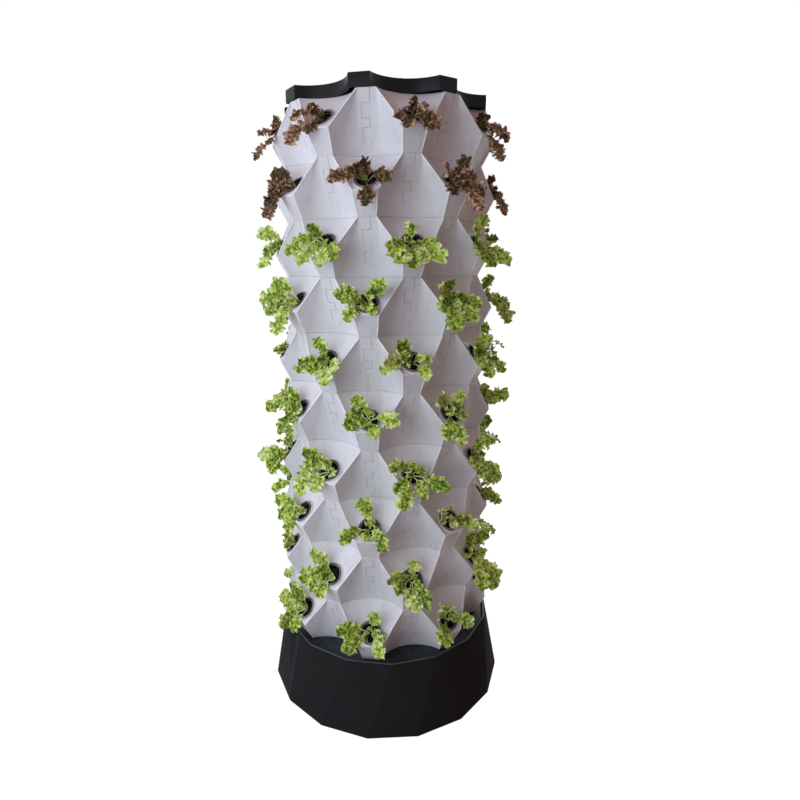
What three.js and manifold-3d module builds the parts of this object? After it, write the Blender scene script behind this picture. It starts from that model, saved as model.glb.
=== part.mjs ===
// Vertical planter tower: ten pocketed tiers stacked on a faceted water tank, under a shallow cap.
// Millimetres, +Z up, origin at the middle of the tank's underside. Direction 0 is -Y, and
// directions grow towards +X. Tier 1 is the top one, pocket 1 of a tier is the one nearest direction 0.

import * as THREE from 'three';
import { mergeVertices } from 'three/addons/utils/BufferGeometryUtils.js';
import Module from 'manifold-3d';

const wasm = await Module();
wasm.setup();

// Counts.
const tierCount = 10;
const looseTierCount = 5;
const bronzeTierCount = 2;
const pocketCount = 8;
const arcSteps = 4;
const cupSides = 6;
const tankSides = 16;
const pipeSides = 12;
const tabCount = 4;
const capRibCount = 4;
const dishNotchCount = 4;
const cornerSteps = 3;
const vaneCount = 6;
const slotCount = 5;

// Clearances.
const seatGap = 0.3;
const slideGap = 0.5;
const overrun = 2;
const weldDistance = 0.0001;

// Outline shared by every tier joint: short flats joined by arcs that bulge inwards.
const flatRadius = 266.5;
const flatWidth = 46;
const hollowDepth = 50.5;
const hollowRadius = flatRadius - hollowDepth;

// Tier.
const tierPitch = 140;
const tierWall = 5;
const lipReach = 26;
const lipRadius = flatRadius + lipReach;
const lipWidth = 61.5;
const lipDrop = 85;
const tabWidth = 16;
const tabThickness = 4;
const tabRise = 8;

// Net cup, measured along its own leaning axis.
const cupFromLip = 33;
const cupRimDiameter = 57;
const cupMouthDiameter = 52;
const cupBaseDiameter = 38;
const cupDepth = 50;
const cupRimThickness = 3;

// Lettuce seedling, measured from the cup's rim.
const leafReach = 88;
const leafWidth = 44;
const leafArch = 10;
const leafMidHeight = 36;
const leafTipHeight = 40;
const leafRootDepth = 6;
const leafMidShare = 0.55;
const leafShares = [[0.06, 1, 1, 1], [0.37, 0.68, 0.86, 0.6], [0.7, 0.72, 0.9, 0.6]];
const seedlingTurnShares = [0, 0.05, -0.04, 0.03];

// Water tank and its deck.
const tankMargin = 30;
const tankFlare = 33.5;
const tankRimRadius = flatRadius + tankMargin;
const tankBaseRadius = tankRimRadius + tankFlare;
const tankWall = 6;
const tankFloor = 6;
const deckHeight = 173;
const deckThickness = 6;
const rimAboveDeck = 12;
const tankHeight = deckHeight + rimAboveDeck;
const ledgeWidth = 14;
const ledgeThickness = 5;
const drainRadius = 70;
const curbClearance = 6;
const curbRadius = hollowRadius - tierWall - curbClearance;
const curbWall = 4;
const curbRise = 8;

// Cap.
const capHeight = 32;
const capOverhang = 3.4;
const capWall = 3;
const capTurn = THREE.MathUtils.degToRad(-3.3);
const capRibThickness = 4;
const capRibLength = 26;
const capRibDrop = 8;

// Riser pipe, its coupling and the distributor dish on top of it.
const pipeRadius = 16;
const pipeWall = 3;
const couplingWall = 4;
const couplingLength = 50;
const couplingRise = 24;
const dishRadius = 70;
const dishDepth = 12;
const dishThickness = 3;
const dishStemLength = 24;
const dishNotchWidth = 12;
const dishBelowCap = 8;

// Submersible pump on the tank's floor.
const pumpWidth = 100;
const pumpLength = 76;
const pumpHeight = 66;
const pumpCorner = 12;
const chamberRadius = 24;
const chamberDepth = 34;
const outletLength = 22;
const impellerRadius = 20;
const impellerHubRadius = 8;
const impellerThickness = 14;
const impellerInset = 4;
const vaneThickness = 3;
const pinRadius = 3;
const pinInset = 2;
const strainerDepth = 12;
const strainerWall = 3;
const strainerWidth = 72;
const strainerHeight = 56;
const slotHeight = 4;
const slotMargin = 6;

const colours = {
  shell: 0xe9e9ee,
  tank: 0x3c3c3e,
  deck: 0x39454a,
  cap: 0x34373a,
  green: 0x9db93a,
  bronze: 0x8a6238,
  pipe: 0xd9dadd,
  pump: 0x22262b,
  impeller: 0xc9c5b4,
};

const halfStep = Math.PI / pocketCount;
const tierHeight = tierPitch - seatGap;

// A point given by a direction, its distance along it, its distance to the right of it, and its height.
function place(direction, outwards, sideways, height) {
  return new THREE.Vector3(
    outwards * Math.sin(direction) + sideways * Math.cos(direction),
    sideways * Math.sin(direction) - outwards * Math.cos(direction),
    height,
  );
}

function material(colour, roughness, metalness = 0) {
  return new THREE.MeshStandardMaterial({ color: colour, roughness, metalness, flatShading: true });
}

function solidOfMesh(positions, triangles) {
  return new wasm.Manifold(new wasm.Mesh({
    numProp: 3,
    vertProperties: Float32Array.from(positions),
    triVerts: Uint32Array.from(triangles),
  }));
}

function solidOfGeometry(geometry) {
  geometry.deleteAttribute('normal');
  geometry.deleteAttribute('uv');
  const merged = mergeVertices(geometry, weldDistance);
  return solidOfMesh(merged.attributes.position.array, merged.index.array);
}

function geometryOfSolid(solid) {
  const mesh = solid.getMesh();
  const geometry = new THREE.BufferGeometry();
  const points = [];
  for (let i = 0; i < mesh.vertProperties.length; i += mesh.numProp) {
    points.push(mesh.vertProperties[i], mesh.vertProperties[i + 1], mesh.vertProperties[i + 2]);
  }
  geometry.setAttribute('position', new THREE.Float32BufferAttribute(points, 3));
  geometry.setIndex(Array.from(mesh.triVerts));
  geometry.computeVertexNormals();
  return geometry;
}

// A solid joined from corner points and faces, where a point that is used twice is stored once.
class Skin {
  constructor() {
    this.points = [];
    this.faces = [];
  }

  add(point) {
    return this.points.push(point) - 1;
  }

  face(a, b, c) {
    this.faces.push([a, b, c]);
  }

  quad(a, b, c, d) {
    this.face(a, b, c);
    this.face(a, c, d);
  }

  solid() {
    return solidOfMesh(this.points.flatMap((p) => p.toArray()), this.faces.flat());
  }
}

// The arc between two flats, seen from its own direction: its radius, its centre's distance from
// the tower's axis and half of the angle that it covers, for an outline drawn in by inset.
function arcOfOutline(inset) {
  const cornerRadius = Math.hypot(flatRadius, flatWidth / 2);
  const cornerAngle = halfStep - Math.atan2(flatWidth / 2, flatRadius);
  const halfChord = cornerRadius * Math.sin(cornerAngle);
  const sag = cornerRadius * Math.cos(cornerAngle) - hollowRadius;
  const outerRadius = (halfChord ** 2 + sag ** 2) / (2 * sag);
  const centre = hollowRadius + outerRadius;
  const radius = outerRadius + inset;
  const toFlat = centre * Math.cos(halfStep) - (flatRadius - inset);
  const alongFlat = Math.sqrt(radius ** 2 - toFlat ** 2);
  const halfAngle = Math.PI / 2 - halfStep - Math.atan2(toFlat, alongFlat);
  return { radius, centre, halfAngle };
}

// The points of one arc of the outline, left to right as seen from outside.
function arcPoints(direction, inset, height) {
  const arc = arcOfOutline(inset);
  return Array.from({ length: arcSteps + 1 }, (_, step) => {
    const angle = arc.halfAngle * (2 * step / arcSteps - 1);
    const outwards = arc.centre - arc.radius * Math.cos(angle);
    return place(direction, outwards, arc.radius * Math.sin(angle), height);
  });
}

function outlineShape(inset) {
  const points = [];
  for (let i = 0; i < pocketCount; i += 1) {
    points.push(...arcPoints((2 * i + 1) * halfStep, inset, 0).map((p) => new THREE.Vector2(p.x, p.y)));
  }
  return new THREE.Shape(points);
}

function prism(shape, bottom, top) {
  const geometry = new THREE.ExtrudeGeometry(shape, { depth: top - bottom, bevelEnabled: false });
  geometry.translate(0, 0, bottom);
  return solidOfGeometry(geometry);
}

function polygonShape(radius, sides, turn) {
  const points = Array.from({ length: sides }, (_, i) => {
    const p = place(turn + (i * 2 * Math.PI) / sides, radius, 0, 0);
    return new THREE.Vector2(p.x, p.y);
  });
  return new THREE.Shape(points);
}

function polygonPrism(radius, sides, turn, bottom, top) {
  return prism(polygonShape(radius, sides, turn), bottom, top);
}

function block(width, depth, height, x, y, z) {
  const geometry = new THREE.BoxGeometry(width, depth, height);
  geometry.translate(x, y, z);
  return solidOfGeometry(geometry);
}

// Tier geometry. A scoop runs from the arc at the top down to a straight lip, a prow runs back in
// below the lip, and between two pockets a recess leans in from a flat to the arc at the bottom.

const lipHeight = tierHeight - lipDrop;
const scoopRun = lipRadius - hollowRadius;
const scoopLength = Math.hypot(scoopRun, lipDrop);
const cupTilt = Math.atan2(lipDrop, scoopRun);
const cupAxis = new THREE.Vector3(0, -Math.sin(cupTilt), Math.cos(cupTilt));
const cupSeat = place(
  0,
  lipRadius - (cupFromLip * scoopRun) / scoopLength,
  0,
  lipHeight + (cupFromLip * lipDrop) / scoopLength,
);

// The corners of one tier's skin, drawn in by inset, as indices into skin.
function tierRows(skin, inset) {
  const rows = [];
  for (let i = 0; i < pocketCount; i += 1) {
    const pocket = 2 * i * halfStep;
    const out = lipRadius - inset;
    const half = lipWidth / 2 - inset / 2;
    rows.push({
      top: arcPoints(pocket, inset, tierHeight).map((p) => skin.add(p)),
      left: skin.add(place(pocket, out, -half, lipHeight)),
      right: skin.add(place(pocket, out, half, lipHeight)),
      bottom: arcPoints(pocket + halfStep, inset, 0).map((p) => skin.add(p)),
    });
  }
  return rows;
}

// The faces of one tier's skin. The inner skin has the same faces turned over.
function tierFaces(skin, rows, face) {
  const middle = arcSteps / 2;
  rows.forEach((row, i) => {
    const before = rows[(i + pocketCount - 1) % pocketCount];
    const after = rows[(i + 1) % pocketCount];
    for (let step = 0; step < arcSteps; step += 1) {
      const lipCorner = step < middle ? row.left : row.right;
      const flatCorner = step < middle ? row.top[arcSteps] : after.top[0];
      face(lipCorner, row.top[step + 1], row.top[step]);
      face(flatCorner, row.bottom[step], row.bottom[step + 1]);
    }
    face(row.left, row.right, row.top[middle]);
    face(row.top[arcSteps], row.bottom[middle], after.top[0]);
    face(row.left, before.bottom[arcSteps], row.bottom[0]);
    face(row.left, row.bottom[0], row.right);
    face(row.top[arcSteps], row.right, row.bottom[0]);
    face(after.top[0], row.bottom[arcSteps], after.left);
  });
}

// The rim that joins the outer and the inner skin along one tier joint.
function tierRim(skin, outer, inner, face) {
  outer.forEach((point, i) => {
    const next = (i + 1) % outer.length;
    face(point, outer[next], inner[next]);
    face(point, inner[next], inner[i]);
  });
}

function tierShell() {
  const skin = new Skin();
  const outer = tierRows(skin, 0);
  const inner = tierRows(skin, tierWall);
  tierFaces(skin, outer, (a, b, c) => skin.face(a, b, c));
  tierFaces(skin, inner, (a, b, c) => skin.face(a, c, b));
  const ringOf = (rows, key) => rows.flatMap((row) => row[key]);
  tierRim(skin, ringOf(outer, 'top'), ringOf(inner, 'top'), (a, b, c) => skin.face(a, b, c));
  tierRim(skin, ringOf(outer, 'bottom'), ringOf(inner, 'bottom'), (a, b, c) => skin.face(a, c, b));
  return skin.solid();
}

// Tabs inside the flats reach up behind the prows of the tier above and keep the stack in line.
function tierTabs() {
  const outside = flatRadius - tierWall - slideGap;
  const lean = ((flatRadius - hollowRadius) * tabRise) / tierHeight;
  const tabs = [];
  for (let i = 0; i < pocketCount; i += pocketCount / tabCount) {
    const tab = block(
      tabWidth,
      tabThickness + lean,
      2 * tabRise,
      0,
      -(outside - (tabThickness + lean) / 2),
      tierHeight,
    );
    tabs.push(turned(tab, (2 * i + 1) * halfStep));
  }
  return joined(tabs);
}

function turned(solid, angle) {
  return solid.rotate([0, 0, THREE.MathUtils.radToDeg(angle)]);
}

function joined(solids) {
  return solids.reduce((sum, solid) => sum.add(solid));
}

// How far the cup's rim stands off the scoop, so that it clears the scoop's raised sides.
function rimStandOff() {
  const top = arcPoints(0, 0, tierHeight);
  const right = place(0, lipRadius, lipWidth / 2, lipHeight);
  const radius = cupRimDiameter / 2;
  const upSlope = new THREE.Vector3(0, Math.cos(cupTilt), Math.sin(cupTilt));
  let height = 0;
  for (let step = arcSteps / 2; step < arcSteps; step += 1) {
    const facet = new THREE.Plane().setFromCoplanarPoints(right, top[step + 1], top[step]);
    for (let side = 0; side < cupSides; side += 1) {
      const angle = (2 * side + 1) * (Math.PI / cupSides);
      const corner = cupSeat.clone();
      corner.x += radius * Math.sin(angle);
      corner.addScaledVector(upSlope, radius * Math.cos(angle));
      height = Math.max(height, -facet.distanceToPoint(corner) / facet.normal.dot(cupAxis));
    }
  }
  return height + seatGap;
}

// Net cup and growing plug: a tapered body under a rim whose underside is at rimBottom.
function cupSolid(rimBottom) {
  const mouth = cupMouthDiameter / 2;
  const base = cupBaseDiameter / 2;
  const profile = [
    [0, -cupDepth],
    [base, -cupDepth],
    [mouth + ((mouth - base) * rimBottom) / cupDepth, rimBottom],
    [cupRimDiameter / 2, rimBottom],
    [cupRimDiameter / 2, cupRimThickness],
    [0, cupRimThickness],
  ];
  return revolved(profile, cupSides);
}

// A closed turned form. Its sides, not its corners, face direction 0.
function revolved(profile, sides) {
  const geometry = new THREE.LatheGeometry(profile.map(([r, z]) => new THREE.Vector2(r, z)), sides);
  geometry.rotateX(Math.PI / 2);
  geometry.rotateZ(Math.PI / sides);
  return solidOfGeometry(geometry);
}

// One arched leaf that grows from the middle of the cup's rim towards direction.
function leafSolid(direction, reachShare, widthShare, heightShare) {
  const skin = new Skin();
  const reach = leafReach * reachShare;
  const half = (leafWidth * widthShare) / 2;
  const midHeight = leafMidHeight * heightShare;
  const base = cupRimThickness;
  const at = (share, sideways, height) => (
    skin.add(place(direction, reach * share, sideways, base + height))
  );
  const root = at(0, 0, -leafRootDepth);
  const left = at(leafMidShare, -half, midHeight);
  const right = at(leafMidShare, half, midHeight);
  const crest = at(leafMidShare, 0, midHeight + leafArch);
  const tip = at(1, 0, leafTipHeight * heightShare);
  skin.quad(root, left, crest, right);
  skin.quad(tip, right, crest, left);
  skin.face(root, right, left);
  skin.face(tip, left, right);
  return skin.solid();
}

// Three leaves of unlike sizes. Every other seedling is turned, so that neighbours differ.
function plantedCup(index, rimBottom) {
  const turn = seedlingTurnShares[index % seedlingTurnShares.length] * 2 * Math.PI;
  const leaves = leafShares.map(([turnShare, ...sizeShares]) => (
    leafSolid(turnShare * 2 * Math.PI + turn, ...sizeShares)
  ));
  return joined([cupSolid(rimBottom), ...leaves]);
}

// The scoop's hole: a straight bore square to the scoop, cut through its wall only.
function cupBore() {
  const radius = cupMouthDiameter / 2 + slideGap;
  const profile = [[0, -2 * tierWall], [radius, -2 * tierWall], [radius, tierWall], [0, tierWall]];
  return revolved(profile, cupSides);
}

const degreesOf = THREE.MathUtils.radToDeg;

// Moves a solid that stands on the origin into pocket i, on its leaning axis.
function inPocket(solid, i, standOff) {
  const spot = cupSeat.clone().addScaledVector(cupAxis, standOff);
  return turned(solid.rotate([degreesOf(cupTilt), 0, 0]).translate(spot.toArray()), 2 * i * halfStep);
}

const pocketIndices = Array.from({ length: pocketCount }, (_, i) => i);
const rimHeight = rimStandOff();
const sunkRim = -rimHeight - (tierWall * Math.cos(cupTilt)) / 2;

// A tier whose cups lift out of their holes.
function openTier() {
  return bareTier.subtract(joined(pocketIndices.map((i) => inPocket(cupBore(), i, 0))));
}

// A tier whose cups stay in place: their rims reach down into its wall.
function plantedTier() {
  const cups = pocketIndices.map((i) => inPocket(plantedCup(i, sunkRim), i, rimHeight));
  return joined([bareTier, ...cups]);
}

// A closed form that fills the tank from a height up to its rim, drawn in by inset. Its sides fold
// between a base and a rim that are turned against each other by half a side.
function tankFill(inset, bottom) {
  const skin = new Skin();
  const ring = (radius, turn, height) => Array.from({ length: tankSides }, (_, i) => (
    skin.add(place(turn + (2 * i * Math.PI) / tankSides, radius - inset, 0, height))
  ));
  const base = ring(tankBaseRadius, 0, bottom);
  const rim = ring(tankRimRadius, Math.PI / tankSides, tankHeight);
  base.forEach((corner, i) => {
    const next = (i + 1) % tankSides;
    skin.face(corner, base[next], rim[i]);
    skin.face(base[next], rim[next], rim[i]);
  });
  for (let i = 1; i < tankSides - 1; i += 1) {
    skin.face(base[0], base[i + 1], base[i]);
    skin.face(rim[0], rim[i], rim[i + 1]);
  }
  return skin.solid();
}

// A ledge round the inside of the wall carries the deck.
function tankSolid() {
  const turn = Math.PI / tankSides;
  const mouthRadius = tankRimRadius - tankWall;
  const ledgeTop = deckHeight - deckThickness - seatGap;
  const ledgeBottom = ledgeTop - ledgeThickness;
  const mouth = polygonPrism(mouthRadius, tankSides, turn, ledgeTop, tankHeight + overrun);
  const slab = polygonPrism(tankBaseRadius, tankSides, turn, ledgeBottom, ledgeTop);
  const hole = polygonPrism(
    mouthRadius - ledgeWidth,
    tankSides,
    turn,
    ledgeBottom - overrun,
    ledgeTop + overrun,
  );
  const ledge = slab.subtract(hole).intersect(tankFill(tankWall / 2, 0));
  return tankFill(0, 0).subtract(tankFill(tankWall, tankFloor)).subtract(mouth).add(ledge);
}

// The deck closes the tank, carries the tiers and lets the water run back through its middle.
function deckSolid() {
  const radius = tankRimRadius - tankWall - slideGap;
  const underside = deckHeight - deckThickness;
  const curbTop = deckHeight + curbRise;
  const plate = polygonPrism(radius, tankSides, Math.PI / tankSides, underside, deckHeight);
  const curb = polygonPrism(curbRadius, tankSides, 0, underside, curbTop);
  const inside = polygonPrism(curbRadius - curbWall, tankSides, 0, deckHeight, curbTop + overrun);
  const drain = polygonPrism(drainRadius, tankSides, 0, underside - overrun, deckHeight + overrun);
  return plate.add(curb).subtract(inside).subtract(drain);
}

// The cap repeats the tiers' outline. Ribs under its top rest on the tier's wall and step down inside it.
function capSolid() {
  const shell = prism(outlineShape(-capOverhang), 0, capHeight);
  const cavity = prism(outlineShape(capWall - capOverhang), -overrun, capHeight - capWall);
  const innerEnd = hollowRadius - capRibLength;
  const skirt = hollowRadius + capOverhang - capWall / 2;
  const stepEnd = hollowRadius - tierWall - slideGap;
  const ribTop = capHeight - capWall / 2;
  const ribs = Array.from({ length: capRibCount }, (_, i) => {
    const seat = block(capRibThickness, skirt - innerEnd, ribTop, 0, -(skirt + innerEnd) / 2, ribTop / 2);
    const step = block(
      capRibThickness,
      stepEnd - innerEnd,
      2 * capRibDrop,
      0,
      -(stepEnd + innerEnd) / 2,
      0,
    );
    return turned(seat.add(step), halfStep + (i * 2 * Math.PI) / capRibCount);
  });
  return joined([shell.subtract(cavity), ...ribs]);
}

function rod(radius, bottom, top) {
  return revolved([[0, bottom], [radius, bottom], [radius, top], [0, top]], pipeSides);
}

function tube(outer, inner, bottom, top) {
  return revolved(
    [[inner, bottom], [outer, bottom], [outer, top], [inner, top], [inner, bottom]],
    pipeSides,
  );
}

const pipeBore = pipeRadius - pipeWall;
const pumpFoot = tankFloor + seatGap;
const pumpTop = pumpFoot + pumpHeight;
const couplingBase = deckHeight + couplingRise;
const stopBase = couplingBase + (couplingLength - pipeWall) / 2;
const stopTop = stopBase + pipeWall;
const stackTop = deckHeight + tierCount * tierPitch;
const capBase = stackTop + seatGap;
const dishBase = capBase + capHeight - capWall - dishBelowCap - dishDepth;

// A straight socket with a narrow stop in its middle, where the two riser pipes meet.
function couplingSolid() {
  const outside = pipeRadius + couplingWall;
  const socket = tube(outside, pipeRadius + seatGap, couplingBase, couplingBase + couplingLength);
  const stop = tube(pipeRadius + couplingWall / 2, pipeBore, stopBase, stopTop);
  return socket.add(stop);
}

// The dish sits over the riser's end and spills the water outwards onto the roots.
function dishSolid() {
  const socket = pipeRadius + seatGap;
  const stem = socket + pipeWall;
  const profile = [
    [socket, -dishStemLength],
    [stem, -dishStemLength],
    [stem, 0],
    [dishRadius, 0],
    [dishRadius, dishDepth],
    [dishRadius - dishThickness, dishDepth],
    [dishRadius - dishThickness, dishThickness],
    [pipeBore, dishThickness],
    [pipeBore, 0],
    [socket, 0],
    [socket, -dishStemLength],
  ];
  const notch = block(
    dishNotchWidth,
    dishRadius,
    dishDepth,
    0,
    -dishRadius,
    dishDepth + dishThickness,
  );
  const notches = Array.from({ length: dishNotchCount }, (_, i) => (
    turned(notch, (i * 2 * Math.PI) / dishNotchCount)
  ));
  return revolved(profile, pipeSides).subtract(joined(notches)).translate([0, 0, dishBase]);
}

function roundedShape(width, length, corner) {
  const shape = new THREE.Shape();
  const x = width / 2 - corner;
  const y = length / 2 - corner;
  shape.absarc(x, y, corner, 0, Math.PI / 2);
  shape.absarc(-x, y, corner, Math.PI / 2, Math.PI);
  shape.absarc(-x, -y, corner, Math.PI, 1.5 * Math.PI);
  shape.absarc(x, -y, corner, 1.5 * Math.PI, 2 * Math.PI);
  return shape;
}

// A round solid along Y between two places, centred on the pump's chamber.
function alongPump(radius, front, back, sides) {
  const geometry = new THREE.CylinderGeometry(radius, radius, back - front, sides);
  geometry.translate(0, (front + back) / 2, pumpMiddle);
  return solidOfGeometry(geometry);
}

const pumpFront = -pumpLength / 2;
const pumpMiddle = pumpFoot + pumpHeight / 2;
const chamberBack = pumpFront + chamberDepth;

function pumpSolid() {
  const geometry = new THREE.ExtrudeGeometry(roundedShape(pumpWidth, pumpLength, pumpCorner), {
    depth: pumpHeight,
    bevelEnabled: false,
    curveSegments: cornerSteps,
  });
  geometry.translate(0, 0, pumpFoot);
  const outletTop = pumpTop + outletLength;
  const chamber = alongPump(chamberRadius, pumpFront - overrun, chamberBack, tankSides);
  const pin = alongPump(pinRadius, pumpFront + pinInset, chamberBack + overrun, pipeSides);
  const outletRadius = pipeBore - slideGap;
  const outlet = rod(outletRadius, pumpTop - overrun, outletTop);
  const passage = rod(outletRadius - pipeWall, pumpMiddle, outletTop + overrun);
  return solidOfGeometry(geometry).add(outlet).subtract(passage).subtract(chamber).add(pin);
}

function impellerSolid() {
  const front = pumpFront + impellerInset;
  const back = front + impellerThickness;
  const reach = impellerRadius - pinRadius - slideGap;
  const vanes = Array.from({ length: vaneCount }, (_, i) => (
    block(reach, impellerThickness, vaneThickness, pinRadius + slideGap + reach / 2, 0, 0)
      .rotate([0, (i * 360) / vaneCount, 0])
      .translate([0, (front + back) / 2, pumpMiddle])
  ));
  const bore = alongPump(pinRadius + slideGap, front - overrun, back + overrun, pipeSides);
  return joined([alongPump(impellerHubRadius, front, back, pipeSides), ...vanes]).subtract(bore);
}

// A slotted cage over the pump's inlet.
function strainerSolid() {
  const back = pumpFront - seatGap;
  const centre = back - strainerDepth / 2;
  const cage = block(strainerWidth, strainerDepth, strainerHeight, 0, centre, pumpMiddle);
  const inside = block(
    strainerWidth - 2 * strainerWall,
    strainerDepth,
    strainerHeight - 2 * strainerWall,
    0,
    centre + strainerWall,
    pumpMiddle,
  );
  const pitch = (strainerHeight - 2 * strainerWall) / slotCount;
  const slots = Array.from({ length: slotCount }, (_, i) => (
    block(
      strainerWidth - 2 * slotMargin,
      2 * strainerWall + overrun,
      slotHeight,
      0,
      back - strainerDepth,
      pumpMiddle + (i - (slotCount - 1) / 2) * pitch,
    )
  ));
  return cage.subtract(inside).subtract(joined(slots));
}

function named(name, solid, surface) {
  const mesh = new THREE.Mesh(geometryOfSolid(solid), surface);
  mesh.name = name;
  return mesh;
}

const surfaces = {
  shell: material(colours.shell, 0.35),
  tank: material(colours.tank, 0.5),
  deck: material(colours.deck, 0.6),
  cap: material(colours.cap, 0.45),
  green: material(colours.green, 0.7),
  bronze: material(colours.bronze, 0.7),
  pipe: material(colours.pipe, 0.4),
  pump: material(colours.pump, 0.5),
  impeller: material(colours.impeller, 0.5),
};

const bareTier = tierShell().add(tierTabs());

// Two digits, so that names sort from the top of the tower down.
const twoDigits = (number) => String(number).padStart(2, '0');

function tierGroup(number) {
  const group = new THREE.Group();
  const loose = number <= looseTierCount;
  group.position.z = deckHeight + seatGap + (tierCount - number) * tierPitch;
  group.rotation.z = (number % 2) * halfStep;
  group.add(named(`tier_${twoDigits(number)}`, loose ? openTier() : plantedTier(), surfaces.shell));
  if (loose) {
    group.add(...pocketIndices.map((i) => looseCup(number, i)));
  }
  return group;
}

function looseCup(number, i) {
  const pocket = new THREE.Group();
  pocket.rotation.z = 2 * i * halfStep;
  const foliage = number <= bronzeTierCount ? surfaces.bronze : surfaces.green;
  const cup = named(`planted_cup_${twoDigits(number)}_${i + 1}`, plantedCup(i, 0), foliage);
  cup.rotation.x = cupTilt;
  cup.position.copy(cupSeat).addScaledVector(cupAxis, rimHeight);
  pocket.add(cup);
  return pocket;
}

const tower = new THREE.Group();
tower.add(named('water_tank', tankSolid(), surfaces.tank));
tower.add(named('tank_deck', deckSolid(), surfaces.deck));
for (let number = tierCount; number >= 1; number -= 1) {
  tower.add(tierGroup(number));
}
const cap = named('top_cap', capSolid(), surfaces.cap);
cap.position.z = capBase;
cap.rotation.z = capTurn;
tower.add(cap);
const riserLower = tube(pipeRadius, pipeBore, pumpTop + seatGap, stopBase - seatGap);
const riserUpper = tube(pipeRadius, pipeBore, stopTop + seatGap, dishBase - seatGap);
tower.add(named('riser_lower', riserLower, surfaces.pipe));
tower.add(named('riser_coupling', couplingSolid(), surfaces.pipe));
tower.add(named('riser_upper', riserUpper, surfaces.pipe));
tower.add(named('spreader_dish', dishSolid(), surfaces.pipe));
tower.add(named('pump_housing', pumpSolid(), surfaces.pump));
tower.add(named('pump_strainer', strainerSolid(), surfaces.pump));
tower.add(named('pump_impeller', impellerSolid(), surfaces.impeller));

export default tower;
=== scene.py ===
import random
from functools import cache
from math import atan2, cos, hypot, pi, radians, sin, sqrt

import bmesh
import bpy
import numpy as np
from mathutils import Matrix, Vector
from mathutils.bvhtree import BVHTree


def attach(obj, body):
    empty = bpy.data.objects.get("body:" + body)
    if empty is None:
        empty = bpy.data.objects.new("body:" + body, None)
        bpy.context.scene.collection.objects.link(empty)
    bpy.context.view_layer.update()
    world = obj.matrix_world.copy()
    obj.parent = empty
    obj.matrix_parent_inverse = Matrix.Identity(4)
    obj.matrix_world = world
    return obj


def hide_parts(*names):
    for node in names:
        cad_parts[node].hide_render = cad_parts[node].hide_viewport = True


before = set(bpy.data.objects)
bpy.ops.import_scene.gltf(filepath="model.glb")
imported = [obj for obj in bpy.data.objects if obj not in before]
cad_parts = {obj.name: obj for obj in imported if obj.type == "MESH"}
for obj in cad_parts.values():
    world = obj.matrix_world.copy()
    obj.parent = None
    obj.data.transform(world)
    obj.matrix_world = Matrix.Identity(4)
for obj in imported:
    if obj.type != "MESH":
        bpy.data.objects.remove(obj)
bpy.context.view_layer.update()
mm = 0.001


# Camera, lights and floor

photoView = {
    "distance": 1602.9 * mm,  # from the tower's axis
    "height": 1187.3 * mm,
    "direction": 8.46,  # degrees from -Y towards +X
    "yaw": -0.127,
    "pitch": -8.708,
    "roll": 0.248,
    "lens": 25.72,
    "sensor": 36,
    "shift": (0.01735, -0.0622),
    "clip": (0.05, 50),
}


def makeCamera(user):
    data = bpy.data.cameras.new("photo_camera")
    data.sensor_width, data.lens = user["sensor"], user["lens"]
    data.shift_x, data.shift_y = user["shift"]
    data.clip_start, data.clip_end = user["clip"]
    camera = showObject("photo_camera", data)
    turn = radians(user["direction"])
    look = (
        Matrix.Rotation(turn + radians(user["yaw"]), 4, "Z")
        @ Matrix.Rotation(radians(user["pitch"]), 4, "X")
        @ Matrix.Rotation(radians(user["roll"]), 4, "Y")
        @ Matrix.Rotation(pi / 2, 4, "X")
    )
    spot = place(turn, user["distance"], 0, user["height"])
    camera.matrix_world = Matrix.Translation(spot) @ look
    bpy.context.scene.camera = camera


lighting = {
    "aim": 0.85,  # height that the lamps point at
    "lamps": {
        # direction in degrees from -Y, distance, height, size, watts, colour
        "key": (-33, 2.8, 1.43, 2.6, 60, (0.745, 0.875, 1.0)),
        "side": (-80, 2.8, 1.6, 1.6, 20, (0.86, 0.8, 1.0)),
        "back": (165, 2.8, 1.9, 2.2, 58, (0.93, 0.97, 1.0)),
    },
    "ambient": (1.0, 0.56, 0.51),
    "ambientStrength": 0.24,
    "floorSize": 12,
    "floorGlow": 0.93,
    "floorFade": (0.9, 2.2),  # distances from the tower between which the floor turns pure white
    "floorColour": (0.3, 0.3, 0.3, 1),
}


def makeLights(user):
    for name, (direction, distance, height, size, watts, colour) in user["lamps"].items():
        data = bpy.data.lights.new(name, "AREA")
        data.size, data.energy, data.color = size, watts, colour
        lamp = showObject(name + "_lamp", data)
        spot = place(radians(direction), distance, 0, height)
        lamp.location = spot
        lamp.rotation_mode = "QUATERNION"
        lamp.rotation_quaternion = (Vector((0, 0, user["aim"])) - spot).to_track_quat("-Z", "Y")


def seenRays(tree):
    # 1 where the ray comes from the camera, from gloss or through glass
    path = addNode(tree, "ShaderNodeLightPath").outputs
    either = mathNode(tree, "MAXIMUM", path["Is Glossy Ray"], path["Is Transmission Ray"])
    return mathNode(tree, "MAXIMUM", path["Is Camera Ray"], either)


def makeWorld(user):
    world = bpy.data.worlds.new("studio")
    tree = emptyTree(world)
    light = {"Color": (*user["ambient"], 1), "Strength": user["ambientStrength"]}
    ambient = addNode(tree, "ShaderNodeBackground", light)
    white = addNode(tree, "ShaderNodeBackground", {"Color": (1, 1, 1, 1)})
    mix = addNode(tree, "ShaderNodeMixShader", {0: seenRays(tree), 1: ambient, 2: white})
    addNode(tree, "ShaderNodeOutputWorld", {0: mix})
    bpy.context.scene.world = world


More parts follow.
